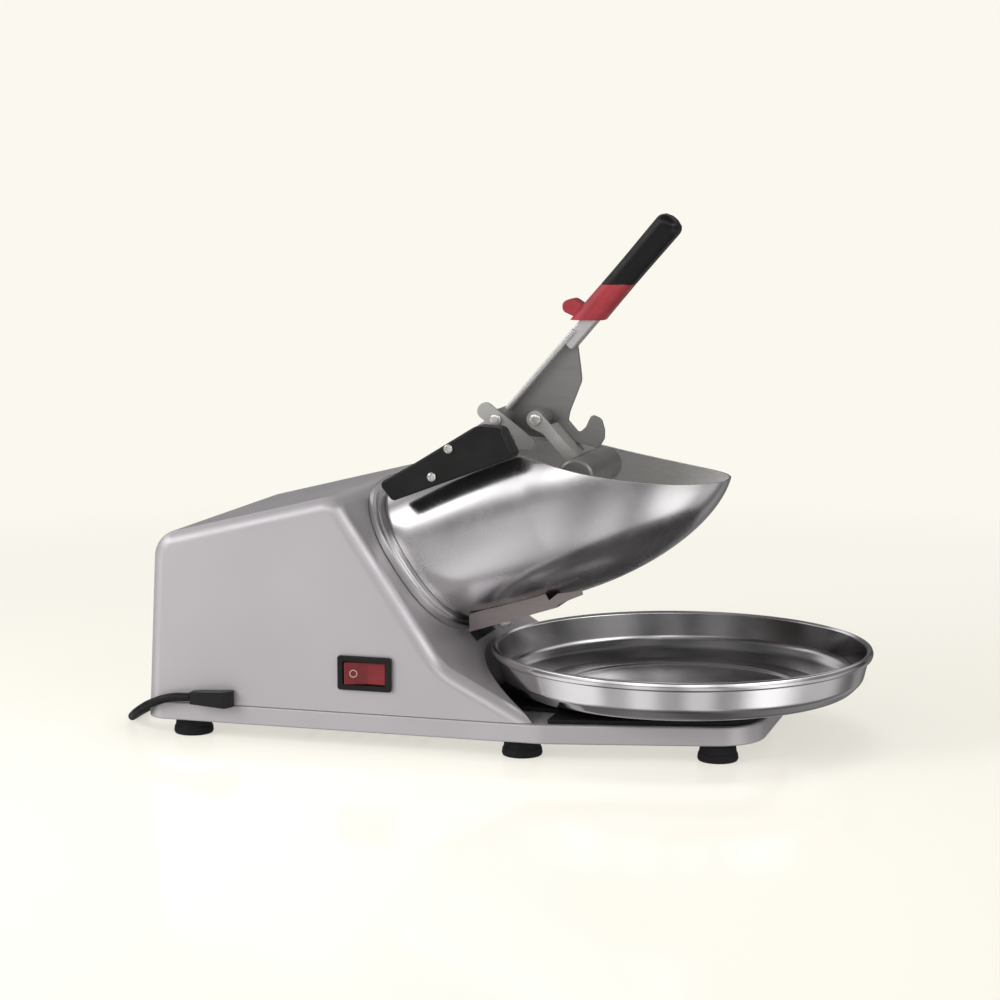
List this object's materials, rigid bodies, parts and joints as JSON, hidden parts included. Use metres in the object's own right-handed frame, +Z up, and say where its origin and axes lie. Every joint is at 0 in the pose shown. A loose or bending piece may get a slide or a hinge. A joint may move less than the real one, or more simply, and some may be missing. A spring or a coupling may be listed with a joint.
{
  "type": "shaved ice machine",
  "caption": "Countertop shaved ice machine: footed tray and steel housing with a motor driven blade disc, a lying hopper, a hinged press lever and a round catch bowl.",
  "frame": {"origin": "centre of the footprint's bounding box at the level the feet stand on, measured without the loose mains lead", "axes": "+X towards the bowl end, +Y towards the side away from the switch and mains lead, +Z up"},
  "size_m": [0.4345, 0.3066, 0.3012],
  "materials": {
    "silver_paint": "satin silver",
    "polished_steel": "mirror polished stainless sheet",
    "plain_steel": "satin",
    "dark_steel": "satin, slightly darkened",
    "cast_aluminium": "as cast",
    "motor_enamel": "satin enamel",
    "black_rubber": "matte",
    "black_plastic": "fine grain",
    "cord_jacket": "smooth matte",
    "red_plastic": "smooth satin",
    "red_lens": "translucent gloss"
  },
  "bodies": {
    "machine": {"base_tray": "silver_paint", "foot_rear_left": "black_rubber", "foot_screw_rear_left": "plain_steel", "foot_rear_right": "black_rubber", "foot_screw_rear_right": "plain_steel", "foot_middle_left": "black_rubber", "foot_screw_middle_left": "plain_steel", "foot_middle_right": "black_rubber", "foot_screw_middle_right": "plain_steel", "foot_front_left": "black_rubber", "foot_screw_front_left": "plain_steel", "foot_front_right": "black_rubber", "foot_screw_front_right": "plain_steel", "bottom_cover": "plain_steel", "body_shell": "silver_paint", "bowl_mat": "black_rubber", "switch_bezel": "black_plastic", "hopper_collar": "plain_steel", "blade_housing": "cast_aluminium", "motor_front_bell": "cast_aluminium", "motor_body": "motor_enamel", "motor_rear_bell": "cast_aluminium", "motor_cradle": "plain_steel", "run_capacitor": "black_plastic", "terminal_block": "black_plastic", "hopper": "polished_steel", "hopper_support": "plain_steel", "support_bolt_left": "plain_steel", "support_bolt_right": "plain_steel", "hinge_cover_left": "black_plastic", "cover_screw_left_1": "plain_steel", "cover_screw_left_2": "plain_steel", "hinge_cover_right": "black_plastic", "cover_screw_right_1": "plain_steel", "cover_screw_right_2": "plain_steel", "hinge_bracket": "plain_steel", "hinge_pin": "plain_steel", "cord_gland": "black_rubber", "cord_lead": "cord_jacket", "cord_coil": "cord_jacket", "cord_tie": "black_plastic", "power_plug": "black_plastic"},
    "rotor": {"blade_disc": "cast_aluminium", "blade_1": "plain_steel", "blade_2": "plain_steel", "blade_3": "plain_steel", "disc_nut": "plain_steel", "motor_shaft": "plain_steel", "cooling_fan": "black_plastic"},
    "press_lever": {"lever": "dark_steel", "grip_handle": "black_plastic", "grip_guard": "red_plastic", "link_pin": "plain_steel"},
    "press_arm": {"press_link": "plain_steel", "press_roller": "cast_aluminium"},
    "rocker": {"switch_rocker": "red_lens"},
    "catch_bowl": {"bowl": "polished_steel"}
  },
  "joints": [
    {"name": "lever_hinge", "type": "hinge", "parent": "machine", "child": "press_lever", "pos_m": [-0.011, 0, 0.183], "axis": [0, 1, 0], "range_deg": [-60, 46]},
    {"name": "press_hinge", "type": "hinge", "parent": "press_lever", "child": "press_arm", "pos_m": [0.01138, 0, 0.18327], "axis": [0, 1, 0], "range_deg": [0, 30]},
    {"name": "blade_spin", "type": "hinge", "parent": "machine", "child": "rotor", "pos_m": [-0.0573, 0, 0.1011], "axis": [0.829, 0, 0.5592], "continuous": true},
    {"name": "switch_rocker_hinge", "type": "hinge", "parent": "machine", "child": "rocker", "pos_m": [-0.068, -0.0884, 0.0446], "axis": [0, 0, 1], "range_deg": [-14, 0]},
    {"name": "bowl_slide", "type": "slide", "parent": "machine", "child": "catch_bowl", "axis": [1, 0, 0], "range_m": [0, 0.25]}
  ]
}
